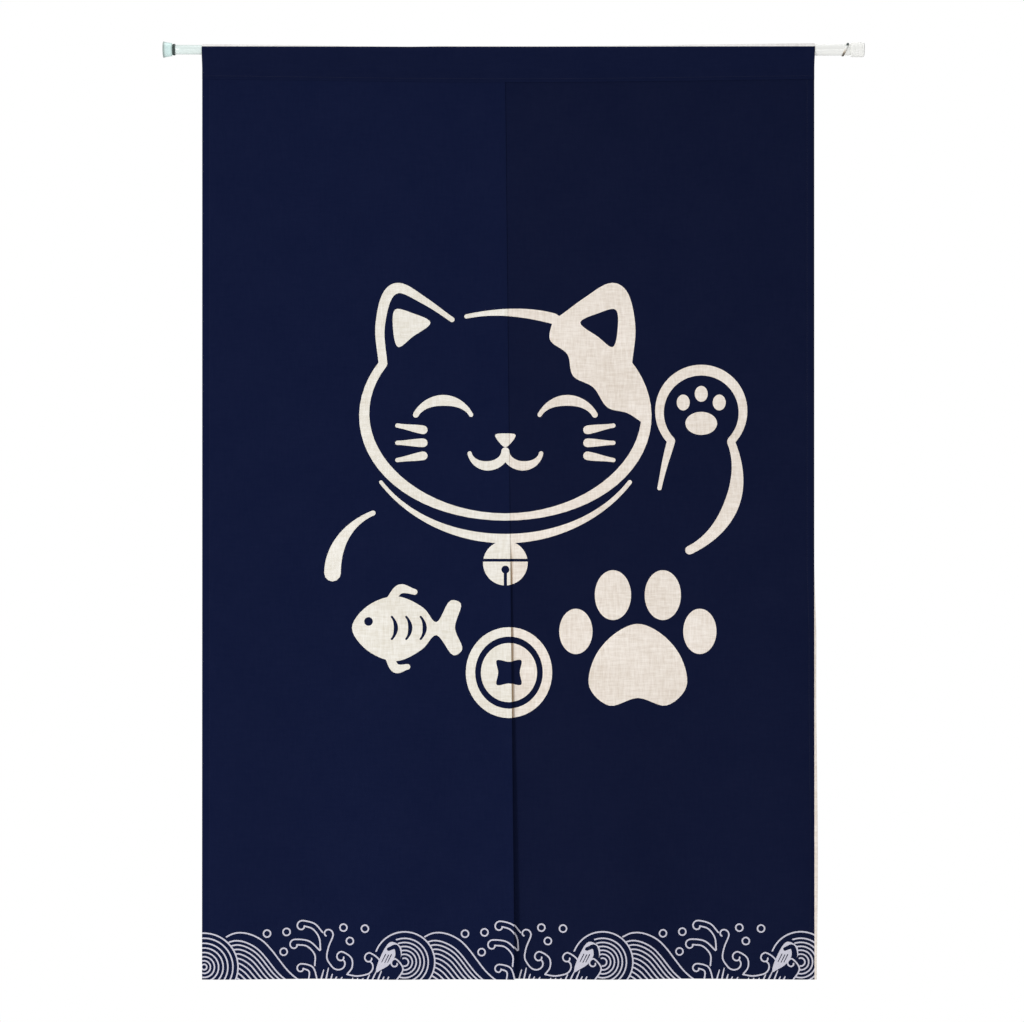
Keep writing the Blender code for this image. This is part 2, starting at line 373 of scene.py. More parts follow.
def coin():
    """A round coin with a square hole and no lettering."""
    return [
        (disc((0, 0), 60, 63), BARE),
        (disc((0, 0), 47, 50), NAVY),
        (disc((0, 0), 39, 41), BARE),
        filled([(-17, -17), (0, -15), (17, -17), (15, 0), (17, 17), (0, 15), (-17, 17),
                (-15, 0)], NAVY),
    ]


def paw_print():
    """A paw print: one broad pad and four toes."""
    drawing = [filled([(-64, -52), (-38, -76), (0, -66), (38, -76), (64, -52), (58, -14),
                       (32, 18), (0, 32), (-32, 18), (-58, -14)])]
    # (x, z, half-width, half-height) of each toe
    for x, z, half_width, half_height in ((-82, 22, 22, 30), (-33, 70, 24, 33),
                                          (33, 70, 24, 33), (82, 22, 22, 30)):
        drawing.append((disc((x, z), half_width, half_height), BARE))
    return drawing


def selvedge():
    """The bare strip beside the right panel's print."""
    outer = CLOTH_RIGHT + SELVEDGE_WIDTH + 2 * SELVEDGE_WAVE
    low = CLOTH_BOTTOM - MM
    return [([(CLOTH_RIGHT, low), (outer, low), (outer, 0.0), (CLOTH_RIGHT, 0.0)], BARE)]


def cat_drawing():
    drawing = cat_head() + cat_face() + cat_collar() + cat_arms()
    drawing += moved(fish(), -138, -288)
    drawing += moved(coin(), 5, -350)
    drawing += moved(paw_print(), 184, -316, 1.05)
    return moved(drawing, *CAT_CENTRE, scale=MM)


# --- the printed waves, in millimetres
# One repeat, from one arch to the next. Its origin is on the cloth's lower edge,
# under the first arch's centre.
WAVE_START = 60
WAVE_DROP = 1.5
WAVE_PITCH = 275
WAVE_LINE = 2.05
ARCH_HEIGHT = 26
ARCH_RADII = (42, 33, 27.3, 21.8, 16.4, 11, 5.6)
FIRST_ARCH = (-3, 19)
FIRST_ARCH_RADII = (47, 40, 33, 26.5, 20.2, 14.4, 8.8, 3.8)
HILL = ((28, 61), (38, 65.5), (50, 66.5), (64, 63), (78, 55), (90, 42.5), (101, 28), (112, 14),
        (122, 4.5), (131, -2))
HILL_LINES = 9
HILL_LINE_ANGLES = (41, -27)  # where the first and last line leave the arch, in degrees
HILL_LINE_ENDS = (113, 50)  # where they meet the cloth's lower edge
HILL_LINE_STRAIGHTNESS = (0.22, 0.8)
DROPS = ((84, 65), (111, 67), (107, 39.5), (190, 73), (220, 72), (199, 54.5))
DROP_RADIUS = 4.9
# Each claw of spray curls to the left: (centre of its round tip, tip's radius, the line
# over its back to its foot, the line under it, which may be missing)
CLAWS = (
    ((132, 75), 7.5, ((150, 78), (161, 66)), ((147, 71), (156, 59), (158, 42))),
    ((122, 49), 7.5, ((142, 54), (157, 41)), ((139, 47), (150, 35), (150, 20))),
    ((131, 16), 6.5, ((147, 18), (154, -2)), ((142, 12), (141, -2))),
    ((187, 32), 7.5, ((201, 31), (202, 18), (195, 8)), ()),
    ((226, 31), 7.5, ((240, 29), (241, 16)), ()),
    ((262, 24), 6.5, ((273, 17), (262, -2)), ()),
)
CLAW_TURN = (0, -275)  # round the tip, from inside the curl over to the back
CLAW_START = 0.45  # the curl's first radius, as a share of the tip's
# A hook is a spiral: (centre, first and last radius, first and last angle)
TALL_HOOK = ((168, 64), 3.5, 8, 230, -30)
TALL_STEM = ((169, 45), (167, 30))
LOW_HOOK = ((185, 25), 13, 6, 205, 380)
TROUGH = ((195, 8), (209, 6))
TROUGH_HOOK = ((222, 23), 14, 6, 280, 395)
LEAF = ((236, 12), (242, 34), (256, 54), (270, 47), (269, 30), (250, 16))
LEAF_CREST = ((253, 44), (263, 47), (266, 34), (257, 19), (241, 7))
CREST_WIDTHS = (5, 7, 9, 12)
LEAF_HATCH = ((243.5, 26), (247.5, 25), (251.5, 25.5))
HATCH_RUN = (5.5, 11)
# (foot's x, height, lean) of the slanting strokes at the cloth's edge
GRASS = ((158.5, 14, 4), (165.5, 16.5, 3.5), (172, 8, 2.5), (178, 4.5, 2.5), (186, 4, 2),
         (202, 3, 1), (209, 3, 1), (216, 3, 1.5), (222.5, 8, 4), (229.5, 13, 6.5),
         (237.5, 13.5, 5.5), (244, 5.5, 2.6), (250.5, 5.5, 2.7))


def wave_line(points):
    return stroke(spline(points, pieces=7), (WAVE_LINE, WAVE_LINE), cap_steps=3), LINE


def rings(centre, radii):
    """Round lines, painted from the outermost in."""
    drawing = []
    for radius in radii:
        steps = max(28, round(radius * 2.2))
        drawing.append((disc(centre, radius + WAVE_LINE / 2, steps=steps), LINE))
        drawing.append((disc(centre, radius - WAVE_LINE / 2, steps=steps), NAVY))
    return drawing


def hill():
    """Lines that lean on the arch, the lower ones shorter and straighter."""
    drawing = [wave_line(HILL)]
    for index in range(HILL_LINES):
        share = index / (HILL_LINES - 1)
        turn = math.radians(blend(*HILL_LINE_ANGLES, share))
        start_x = ARCH_RADII[0] * math.cos(turn)
        start_z = ARCH_HEIGHT + ARCH_RADII[0] * math.sin(turn)
        end_x = blend(*HILL_LINE_ENDS, share)
        straightness = blend(*HILL_LINE_STRAIGHTNESS, share)
        line = []
        for x, z in HILL:
            along = (x - HILL[0][0]) / (HILL[-1][0] - HILL[0][0])
            humped = z * start_z / HILL[0][1]
            line.append((blend(start_x, end_x, along),
                         blend(humped, blend(start_z, HILL[-1][1], along), straightness)))
        drawing.append(wave_line(line))
    return drawing


def claw(tip, radius, back, belly):
    curl = spiral(tip, CLAW_START * radius, radius, *CLAW_TURN)
    drawing = [wave_line([*curl, *back])]
    if belly:
        drawing.append(wave_line([curl[0], *belly]))
    return drawing


def spray():
    """The curls, leaf, drops and grass up to the next arch, over that arch's left side."""
    next_arch = (WAVE_PITCH, ARCH_HEIGHT)
    ground = arc(next_arch, ARCH_RADII[0] - WAVE_LINE, 158, 112, 10)
    ground += [(268, 48), (274, 24), (272.5, 14), (262, -3), (214, -3), (214, 30), (226, 38)]
    drawing = [(ground, NAVY), filled(LEAF, LINE)]
    drawing.append(brushed(LEAF_CREST, CREST_WIDTHS, NAVY))
    for x, z in LEAF_HATCH:
        end = (x + HATCH_RUN[0], z + HATCH_RUN[1])
        drawing.append((stroke([(x, z), end], (1.0, 1.4), cap_steps=1), NAVY))
    for row in CLAWS:
        drawing += claw(*row)
    drawing.append(wave_line([*spiral(*TALL_HOOK), *TALL_STEM, *spiral(*LOW_HOOK)]))
    drawing.append(wave_line([*TROUGH, *spiral(*TROUGH_HOOK)]))
    for drop in DROPS:
        drawing += rings(drop, (DROP_RADIUS,))
    for foot, height, lean in GRASS:
        blade = [(foot - 0.5, -2), (foot + lean / 2, height / 2), (foot + lean, height)]
        drawing.append((stroke(blade, (2.4, 2.0, 1.4), cap_steps=2), LINE))
    return drawing


def wave_border():
    drawing = []
    repeats = math.ceil((CLOTH_RIGHT - CLOTH_LEFT) / MM / WAVE_PITCH) + 1
    for index in range(repeats):
        drawing += moved(hill(), index * WAVE_PITCH, 0)
    drawing += rings(FIRST_ARCH, FIRST_ARCH_RADII)
    for index in range(1, repeats):
        drawing += rings((index * WAVE_PITCH, ARCH_HEIGHT), ARCH_RADII)
    for index in range(repeats):
        drawing += moved(spray(), index * WAVE_PITCH, 0)
    return moved(drawing, WAVE_START * MM, CLOTH_BOTTOM - WAVE_DROP * MM, scale=MM)


# --- cutting the cloth

CUT_TOLERANCE = 1e-7


def inside_box(outline, low, high):
    return (max(x for x, _ in outline) > low[0] and min(x for x, _ in outline) < high[0]
            and max(z for _, z in outline) > low[1] and min(z for _, z in outline) < high[1])


def cut_cloth(outline, guides, drawing, pitch):
    """Triangles of a flat cloth that follow its outline, guide lines and drawing.

    Returns the points, the triangles and each triangle's ink, where None is the
    cloth's own ground.
    """
    low = [min(point[axis] for point in outline) for axis in (0, 1)]
    high = [max(point[axis] for point in outline) for axis in (0, 1)]
    points = list(outline)
    loops = [list(range(len(outline)))]
    inks = [None]
    for shape, ink in drawing:
        if inside_box(shape, low, high):
            if area(shape) < 0:
                shape = shape[::-1]
            loops.append(list(range(len(points), len(points) + len(shape))))
            points += shape
            inks.append(ink)
    edges = []
    for guide in guides:
        first = len(points)
        points += guide
        edges += [(index, index + 1) for index in range(first, first + len(guide) - 1)]
    rows = rows_between(low[1], high[1], pitch[1])[1:-1]
    for across in rows_between(low[0], high[0], pitch[0])[1:-1]:
        points += [(across, up) for up in rows]
    made = delaunay_2d_cdt([Vector(point) for point in points], edges, loops, 0, CUT_TOLERANCE)
    triangles, triangle_inks = [], []
    for triangle, covers in zip(made[2], made[5]):
        if 0 in covers:
            triangles.append(tuple(triangle))
            triangle_inks.append(inks[max(covers)])
    return made[0], triangles, triangle_inks


def build_sheet(name, cut, surface, ground, slots):
    """A closed two-sided sheet from a flat cut.

    surface(u, v, side) places a point on the front (-1) or back (+1), and both
    meet along the cut's rim. slots maps each ink to (front, back) materials.
    """
    flat, triangles, inks = cut
    uses = {}
    for triangle in triangles:
        for pair in zip(triangle, triangle[1:] + triangle[:1]):
            key = tuple(sorted(pair))
            uses[key] = uses.get(key, 0) + 1
    rim = {index for pair, count in uses.items() if count == 1 for index in pair}
    # A sliver between three rim points would have no thickness, so it is left out.
    kept = [order for order, triangle in enumerate(triangles) if not rim.issuperset(triangle)]
    triangles = [triangles[order] for order in kept]
    inks = [inks[order] for order in kept]
    used = sorted({index for triangle in triangles for index in triangle})
    places, front, back = [], {}, {}
    for index in used:
        front[index] = len(places)
        places.append(surface(flat[index][0], flat[index][1], -1))
        back[index] = front[index]
        if index not in rim:
            back[index] = len(places)
            places.append(surface(flat[index][0], flat[index][1], 1))
    turned = [triangle[::-1] for triangle in triangles]
    faces = [tuple(front[index] for index in triangle) for triangle in triangles]
    faces += [tuple(back[index] for index in triangle) for triangle in turned]
    mesh = bpy.data.meshes.new(name)
    mesh.from_pydata(places, [], faces)
    materials = [material for pair in slots.values() for material in pair]
    for material in materials:
        mesh.materials.append(material)
    order = []
    for side in (0, 1):
        order += [materials.index(slots[ink or ground][side]) for ink in inks]
    mesh.polygons.foreach_set("material_index", order)
    weave = mesh.uv_layers.new(name="Weave")
    corners = []
    for triangle in triangles + turned:
        for index in triangle:
            corners.extend(flat[index])
    weave.data.foreach_set("uv", corners)
    mesh.validate()
    mesh.shade_smooth()
    return placed(name, mesh)


# --- how the cloth hangs

def rod_height(x):
    share = x / ROD_LENGTH
    return -ROD_SAG * 16.0 * (share * (1.0 - share)) ** 2


def lap_edge(down):
    return blend(LAP_EDGE_TOP, LAP_EDGE_BOTTOM, down)


def panel_top(x):
    return rod_height(x) - HEADING_DROP + PANEL_TUCK


def panel_down(x, z):
    return (panel_top(x) - z) / (panel_top(x) - CLOTH_BOTTOM)


def selvedge_width(down):
    grown = smooth((down - SELVEDGE_START) / SELVEDGE_EASE)
    return grown * (SELVEDGE_WIDTH + SELVEDGE_WAVE * math.sin(math.tau * SELVEDGE_WAVES * down))


def left_panel_edges(down):
    return CLOTH_LEFT, lap_edge(down)


def right_panel_edges(down):
    inner = lap_edge(down) - blend(LAP_TOP, LAP_BOTTOM, down)
    return inner, CLOTH_RIGHT + selvedge_width(down)


def fold_depth(folds, across, down):
    depth = 0.0
    for centre, half_width, hem_depth, drift in folds:
        offset = (across - centre - drift * down) / half_width
        depth += hem_depth * math.exp(-offset * offset)
    return depth * smooth((down - FOLDS_START) / (FOLDS_FULL - FOLDS_START))


def rounded(to_rim):
    """How far inside the rounded rim a point is, 0-1, and half the cloth's thickness there."""
    rim = min(max(to_rim, 0.0) / EDGE_ROUND, 1.0)
    return rim, THICKNESS / 2 * math.sqrt(1.0 - (1.0 - rim) ** 2)


def stitch_trough(offset):
    """How far a row of stitches pulls the cloth in, at an offset from the row."""
    return STITCH_TROUGH * math.exp(-(offset / STITCH_TROUGH_WIDTH) ** 2)


def panel_surface(edges_at, folds, layer, hems, outer):
    """The surface function of one panel. hems are its left and right hem widths, and
    outer is the index of the hem whose stitches go right through to the front."""
    def surface(x, z, side):
        down = panel_down(x, z)
        low, high = edges_at(down)
        across = (x - low) / (high - low)
        insets = ((x - low, hems[0]), (high - x, hems[1]), (z - CLOTH_BOTTOM, HEM_BOTTOM))
        rim, half = rounded(min(panel_top(x) - z, *(inset for inset, _ in insets)))
        troughs, hem = [], 0.0
        for inset, width in insets:
            troughs.append(stitch_trough(inset - width + STITCH_INSET))
            hem = max(hem, 1.0 - smooth((inset - width + EDGE_ROUND) / EDGE_ROUND))
        # Inside the heading the hems are pressed flat.
        rim *= smooth((panel_top(x) - PANEL_TUCK - z) / PANEL_TUCK)
        curl = SLIT_CURL * math.exp(-(insets[1 - outer][0] / SLIT_CURL_WIDTH) ** 2)
        curl *= smooth((down - SLIT_START) / SLIT_EASE)
        y = layer - fold_depth(folds, across, down) + math.copysign(curl, layer)
        if side < 0:
            return x, y - half + troughs[outer] * rim, z
        return x, y + half + (HEM_EXTRA * hem - max(troughs)) * rim, z
    return surface


def side_line(edges_at, side, inset, inset_bottom, inset_top):
    """Points down a panel's left (0) or right (1) side, inset towards its middle."""
    top_x = edges_at(0.0)[side]
    bottom = CLOTH_BOTTOM + inset_bottom
    line = []
    for z in rows_between(panel_top(top_x) - inset_top, bottom, GRID_PITCH):
        down = min(max(panel_down(top_x, z), 0.0), 1.0)
        line.append((edges_at(down)[side] + (inset if side == 0 else -inset), z))
    return line


def panel_sides(edges_at, inset_left=0.0, inset_right=0.0, inset_bottom=0.0, inset_top=0.0):
    """A line down the panel's left side, along its hem and up its right side."""
    left = side_line(edges_at, 0, inset_left, inset_bottom, inset_top)
    right = side_line(edges_at, 1, inset_right, inset_bottom, inset_top)
    hem = [(x, left[-1][1]) for x in rows_between(left[-1][0], right[-1][0], GRID_PITCH)]
    return left + hem[1:-1] + right[::-1]


def make_panel(side, edges_at, folds, layer, hems, outer, slots):
    outline = panel_sides(edges_at)
    top = rows_between(outline[-1][0], outline[0][0], GRID_PITCH)
    outline += [(x, panel_top(x)) for x in top[1:-1]]
    insets = [(step, step, step) for step in (RIM_GUIDE, EDGE_ROUND, SLIT_CURL_WIDTH / 2)]
    for step in (EDGE_ROUND, 0.0, STITCH_INSET - STITCH_TROUGH_WIDTH, STITCH_INSET,
                 STITCH_INSET + STITCH_TROUGH_WIDTH):
        insets.append((hems[0] - step, hems[1] - step, HEM_BOTTOM - step))
    guides = [panel_sides(edges_at, *inset, TOP_GUIDE) for inset in insets]
    drawing = cat_drawing() + wave_border() + selvedge()
    cut = cut_cloth(outline, guides, drawing, (GRID_PITCH, GRID_PITCH))
    surface = panel_surface(edges_at, folds, layer, hems, outer)
    sheet = build_sheet(side + "_panel_cloth", cut, surface, NAVY, slots)
    stand_for(sheet, side + "_panel")
    return sheet, surface


# --- the heading

LOOP_RADIUS = THICK_RADIUS + SLIDE_GAP + CAD_THICKNESS / 2
LAYER_Y = 1.15 * MM  # the heading's two layers, either side of the panels
PANEL_LAYER_Y = 0.45 * MM  # the left panel in front of this, the right one behind


def loop_centre(x):
    step = smooth((x - THICK_BOX[0].x + STEP_CLEAR + STEP_EASE) / STEP_EASE)
    return rod_height(x) + blend(THIN_RADIUS, THICK_RADIUS, step) - THICK_RADIUS


# The strip is cut flat: along x, and up v, which runs over the front leg, the
# loop and the back leg. Each is as long in v as it is in the cloth.
LEG_LENGTH = HEADING_DROP
LOOP_LENGTH = math.pi * LOOP_RADIUS
STRIP_LENGTH = 2 * LEG_LENGTH + LOOP_LENGTH
STRIP_PITCH = 2 * MM  # between rows of points round the loop


def heading_place(x, v):
    """The strip's middle surface at (x, v), and its outward direction there."""
    centre = loop_centre(x)
    if LEG_LENGTH <= v <= LEG_LENGTH + LOOP_LENGTH:
        turn = (v - LEG_LENGTH) / LOOP_RADIUS
        out = (-math.cos(turn), math.sin(turn))
        return LOOP_RADIUS * out[0], centre + LOOP_RADIUS * out[1], out
    side = -1 if v < LEG_LENGTH else 1
    up = (v if side < 0 else STRIP_LENGTH - v) / LEG_LENGTH
    bottom = rod_height(x) - HEADING_DROP
    z = blend(bottom, centre, up)
    pinch = (HEADING_DROP - PINCH_DROP) / HEADING_DROP
    share = (up - pinch) / (1.0 - pinch)
    y = blend(LAYER_Y, LOOP_RADIUS, smooth(share))
    return side * y, z, (side, 0.0)


def heading_surface(x, v, side):
    """side -1 is the strip's face, on the outside of the loop."""
    y, z, out = heading_place(x, v)
    rim, half = rounded(min(x - CLOTH_LEFT, CLOTH_RIGHT - x, v, STRIP_LENGTH - v))
    to_stitch = min(abs(v - HEADING_STITCH), abs(STRIP_LENGTH - v - HEADING_STITCH))
    reach = half - stitch_trough(to_stitch) * rim if side < 0 else -half
    return x, y + out[0] * reach, z + out[1] * reach


def make_heading(slots):
    columns = rows_between(CLOTH_LEFT, CLOTH_RIGHT, GRID_PITCH)
    rows = rows_between(0.0, STRIP_LENGTH, STRIP_PITCH)
    outline = [(x, 0.0) for x in columns] + [(CLOTH_RIGHT, v) for v in rows[1:-1]]
    outline += [(x, STRIP_LENGTH) for x in columns[::-1]] + [(CLOTH_LEFT, v) for v in rows[-2:0:-1]]
    guides = []
    for inset in (RIM_GUIDE, EDGE_ROUND):
        guides.append([(CLOTH_LEFT + inset, v) for v in rows])
        guides.append([(CLOTH_RIGHT - inset, v) for v in rows])
    for inset in (RIM_GUIDE, EDGE_ROUND, HEADING_STITCH - STITCH_TROUGH_WIDTH, HEADING_STITCH,
                  HEADING_STITCH + STITCH_TROUGH_WIDTH):
        guides.append([(x, inset) for x in columns])
        guides.append([(x, STRIP_LENGTH - inset) for x in columns])
    edge = []
    for x in columns:
        rise = min((PRINT_TOP - loop_centre(x)) / LOOP_RADIUS, 1.0)
        edge.append((x, LEG_LENGTH + LOOP_RADIUS * math.asin(rise)))
    navy = [(CLOTH_LEFT - MM, -MM), (CLOTH_RIGHT + MM, -MM)]
    navy += [(CLOTH_RIGHT + MM, edge[-1][1])] + edge[::-1] + [(CLOTH_LEFT - MM, edge[0][1])]
    cut = cut_cloth(outline, guides, [(navy, NAVY)], (GRID_PITCH, STRIP_PITCH))
    sheet = build_sheet("heading_cloth", cut, heading_surface, BARE, slots)
    stand_for(sheet, "heading")
    return sheet


# --- materials

def add_node(tree, kind, inputs=None, **settings):
    """A shader node with its settings, and inputs given as values or as sockets to link."""
    node = tree.nodes.new("ShaderNode" + kind)
    for name, value in settings.items():
        setattr(node, name, value)
    for name, value in (inputs or {}).items():
        if isinstance(value, bpy.types.NodeSocket):
            tree.links.new(value, node.inputs[name])
        else:
            is_colour = node.inputs[name].type == "RGBA"
            node.inputs[name].default_value = (*value, 1.0) if is_colour else value
    return node


def new_material(name, roughness):
    material = bpy.data.materials.new(name)
    material.use_nodes = True
    tree = material.node_tree
    shader = tree.nodes["Principled BSDF"]
    shader.inputs["Roughness"].default_value = roughness
    return material, tree, shader


def maths(tree, operation, first, second):
    return add_node(tree, "Math", {0: first, 1: second}, operation=operation).outputs[0]


def scaled(tree, value, middle, scale):
    """How far the value is past the middle, scaled."""
    return maths(tree, "MULTIPLY", maths(tree, "SUBTRACT", value, middle), scale)


def stretched_noise(tree, coordinates, scale, detail=3.0):
    mapping = add_node(tree, "Mapping", {"Vector": coordinates, "Scale": scale})
    look = {"Vector": mapping.outputs[0], "Scale": 1.0, "Detail": detail, "Roughness": 0.55}
    return add_node(tree, "TexNoise", look).outputs["Fac"]


def mixed_colour(tree, share, first, second):
    """The first colour where share is 0 and the second where it is 1."""
    return add_node(tree, "Mix", {0: share, 6: first, 7: second}, data_type="RGBA").outputs[2]


def bumped(tree, shader, strength, distance, height):
    bump = add_node(tree, "Bump", {"Strength": strength, "Distance": distance, "Height": height})
    tree.links.new(bump.outputs[0], shader.inputs["Normal"])


def ranged(tree, value, low, high, start=0.0, end=1.0, **settings):
    """The value's way from low to high as a way from start to end, and held there."""
    limits = {"From Min": low, "From Max": high, "To Min": start, "To Max": end}
    return add_node(tree, "MapRange", {"Value": value, **limits}, **settings).outputs[0]


def streaks(tree, weave, along, across):
    """Noise drawn out along both the warp and the weft. Scales are in cells a metre."""
    return maths(tree, "ADD", stretched_noise(tree, weave, (along, across, 1)),
                 stretched_noise(tree, weave, (across, along, 1)))


THREAD_PITCH = 0.75 * MM
SLUB_SCALES = (70, 900)
COARSE_SCALES = (40, 260)
CLOUD_SCALE = 14
# A painted warm shadow on the right panel's bare cloth, along the slit's edge, below where the
# edges part
PAINTED_SLIT_SHADE = (0.52, 0.36, 0.22)
PAINTED_SLIT_SHADE_WIDTH = 4.0 * MM
PAINTED_SLIT_SHADE_RISE = 50 * MM


def painted_slit_shade(tree, weave, colour):
    """The colour, with a painted warm shadow where the right panel's cloth tucks under the slit's
    edge.
    """
    split = add_node(tree, "SeparateXYZ", {0: weave})
    across, up = split.outputs[0], split.outputs[1]
    lean = (LAP_EDGE_TOP - LAP_EDGE_BOTTOM) / (panel_top(0.0) - CLOTH_BOTTOM)
    edge = maths(tree, "ADD", scaled(tree, up, CLOTH_BOTTOM, lean), LAP_EDGE_BOTTOM)
    past_edge = maths(tree, "SUBTRACT", across, edge)
    near = ranged(tree, past_edge, 0.3 * PAINTED_SLIT_SHADE_WIDTH, PAINTED_SLIT_SHADE_WIDTH, 1.0, 0.0)
    start = blend(panel_top(0.0), CLOTH_BOTTOM, SLIT_START)
    below = ranged(tree, up, start - PAINTED_SLIT_SHADE_RISE, start, 1.0, 0.0)
    return mixed_colour(tree, maths(tree, "MULTIPLY", near, below), colour, PAINTED_SLIT_SHADE)


def linen(name, colour, thread_colour, contrast, mottle, sheen=0.1, specular=0.15, slit_shade=False):
    """Plain-woven linen: crossing threads with slubs, thick and thin places and mottling."""
    material, tree, shader = new_material(name, 0.92)
    shader.inputs["Sheen Weight"].default_value = sheen
    shader.inputs["Sheen Roughness"].default_value = 0.5
    shader.inputs["Specular IOR Level"].default_value = specular
    weave = add_node(tree, "UVMap", uv_map="Weave").outputs[0]
    slubs = streaks(tree, weave, *SLUB_SCALES)
    coarse = streaks(tree, weave, *COARSE_SCALES)
    clouds = stretched_noise(tree, weave, (CLOUD_SCALE, CLOUD_SCALE, 1))
    split = add_node(tree, "SeparateXYZ", {0: weave})
    waves = []
    for way in (split.outputs[0], split.outputs[1]):
        turn = maths(tree, "MULTIPLY", way, math.pi / THREAD_PITCH)
        waves.append(maths(tree, "SINE", turn, 0.0))
    crossing = maths(tree, "MULTIPLY", *waves)
    relief = maths(tree, "ADD", maths(tree, "MULTIPLY", crossing, 0.5),
                   maths(tree, "MULTIPLY", slubs, 1.2))
    threads = scaled(tree, maths(tree, "ADD", slubs, coarse), 2.0, contrast)
    tone = maths(tree, "ADD", threads, scaled(tree, clouds, 0.5, mottle))
    share = add_node(tree, "Clamp", {0: maths(tree, "ADD", tone, 0.5)}).outputs[0]
    cloth_colour = mixed_colour(tree, share, thread_colour, colour)
    # Painted warm shadow beside the slit, on the right panel's bare cloth
    if slit_shade:
        cloth_colour = painted_slit_shade(tree, weave, cloth_colour)
    tree.links.new(cloth_colour, shader.inputs["Base Color"])
    bumped(tree, shader, 0.35, 0.00025, relief)
    return material


def moulded(name, colour, cloud_colour, roughness, skin_scale=900, skin=0.08, coat=0.0):
    """Plastic, rubber or enamel with slight clouding and a fine skin texture."""
    material, tree, shader = new_material(name, roughness)
    shader.inputs["Coat Weight"].default_value = coat
    place = add_node(tree, "TexCoord").outputs["Object"]
    clouds = stretched_noise(tree, place, (160, 160, 160))
    tree.links.new(mixed_colour(tree, clouds, cloud_colour, colour), shader.inputs["Base Color"])
    grain = stretched_noise(tree, place, (skin_scale, skin_scale, skin_scale), detail=2.0)
    bumped(tree, shader, skin, 0.0002, grain)
    return material, tree, shader


def banded(name, axis, low, high, bands, roughness):
    """Plastic whose colour changes along an axis. bands are (share of the way, colour)."""
    material, tree, shader = moulded(name, bands[0][1], bands[0][1], roughness)
    place = add_node(tree, "TexCoord").outputs["Object"]
    reach = add_node(tree, "SeparateXYZ", {0: place}).outputs[axis]
    share = ranged(tree, reach, low, high)
    ramp = add_node(tree, "ValToRGB", {0: share})
    stops = ramp.color_ramp.elements
    stops[0].color = (*bands[0][1], 1.0)
    stops[1].color = (*bands[-1][1], 1.0)
    for level, colour in bands[1:-1]:
        stops.new(level).color = (*colour, 1.0)
    tree.links.new(ramp.outputs[0], shader.inputs["Base Color"])
    return material


# --- stitches

def make_stitches(name, runs, material):
    """One mesh of short thread stitches. Each run is a list of (point, outward) pairs."""
    form = bmesh.new()
    for run in runs:
        travelled, target = 0.0, STITCH_PITCH / 2
        for (start, out), (end, _) in zip(run, run[1:]):
            length = (end - start).length
            while target <= travelled + length and length > 0.0:
                centre = start.lerp(end, (target - travelled) / length)
                along = (end - start).normalized()
                add_stitch(form, centre, along, out)
                target += STITCH_PITCH
            travelled += length
    stitches = meshed(name, form, material)
    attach(stitches, "root")
    return stitches


STITCH_SIDES = 5
# (place along a stitch as a share of its length, radius and depth as shares of its radius)
STITCH_RINGS = ((-0.5, 0.45, 0.9), (-0.25, 1.0, 0.2), (0.25, 1.0, 0.2), (0.5, 0.45, 0.9))


def add_stitch(form, centre, along, out):
    """A plump spindle of thread lying along the cloth, sunk into it at both ends."""
    across = out.cross(along).normalized()
    rings = []
    for share, radius, sink in STITCH_RINGS:
        middle = centre + along * (share * STITCH_LENGTH) - out * (sink * STITCH_RADIUS)
        ring = []
        for index in range(STITCH_SIDES):
            turn = math.tau * index / STITCH_SIDES
            side = across * math.cos(turn) + out * math.sin(turn)
            ring.append(form.verts.new(middle + side * radius * STITCH_RADIUS))
        rings.append(ring)
    for first, second in zip(rings, rings[1:]):
        for index in range(STITCH_SIDES):
            after = (index + 1) % STITCH_SIDES
            form.faces.new((first[index], first[after], second[after], second[index]))
    form.faces.new(rings[0][::-1])
    form.faces.new(rings[-1])


def panel_stitch_runs(edges_at, surface, hems, outer):
    """Stitch lines inside the hems: all of them at the back, the outer one at the front."""
    runs = []
    stitch_height = CLOTH_BOTTOM + HEM_BOTTOM - STITCH_INSET
    rows = rows_between(panel_top(CLOTH_LEFT) - PANEL_TUCK, stitch_height, GRID_PITCH)
    for side, edge in ((-1, outer), (1, 0), (1, 1)):
        inward = 1 if edge == 0 else -1
        run = []
        for z in rows:
            x = edges_at(panel_down(CLOTH_LEFT, z))[edge] + inward * (hems[edge] - STITCH_INSET)
            run.append((Vector(surface(x, z, side)), Vector((0, side, 0))))
        runs.append(run)
    low, high = edges_at(1.0)
    runs.append([(Vector(surface(x, stitch_height, 1)), Vector((0, 1, 0)))
                 for x in rows_between(low + MM, high - MM, GRID_PITCH)])
    return runs


def heading_stitch_runs():
    runs = []
    for v, way in ((HEADING_STITCH, -1), (STRIP_LENGTH - HEADING_STITCH, 1)):
        out = Vector((0, way, 0))
        runs.append([(Vector(heading_surface(x, v, -1)), out)
                     for x in rows_between(CLOTH_LEFT + MM, CLOTH_RIGHT - MM, GRID_PITCH)])
    return runs


# --- the rod

TUBE_WALL = 0.8 * MM
TUBE_STEPS = 24
ROUND_STEPS = 64


def make_tube(node, box, material):
    """An open tube that follows the rod's sag from one end of the CAD tube's box to the other."""
    curve = bpy.data.curves.new(node, "CURVE")
    curve.dimensions = "3D"
    curve.bevel_depth = box[1].y
    curve.bevel_resolution = ROUND_STEPS // 2 - 2
    line = curve.splines.new("POLY")
    line.points.add(TUBE_STEPS)
    for index, point in enumerate(line.points):
        x = blend(box[0].x, box[1].x, index / TUBE_STEPS)
        point.co = (x, 0.0, rod_height(x), 1.0)
    curve.materials.append(material)
    tube = placed("rod_" + node, curve)
    solidify = tube.modifiers.new("wall", "SOLIDIFY")
    solidify.thickness = TUBE_WALL
    solidify.offset = -1.0
    stand_for(tube, node)


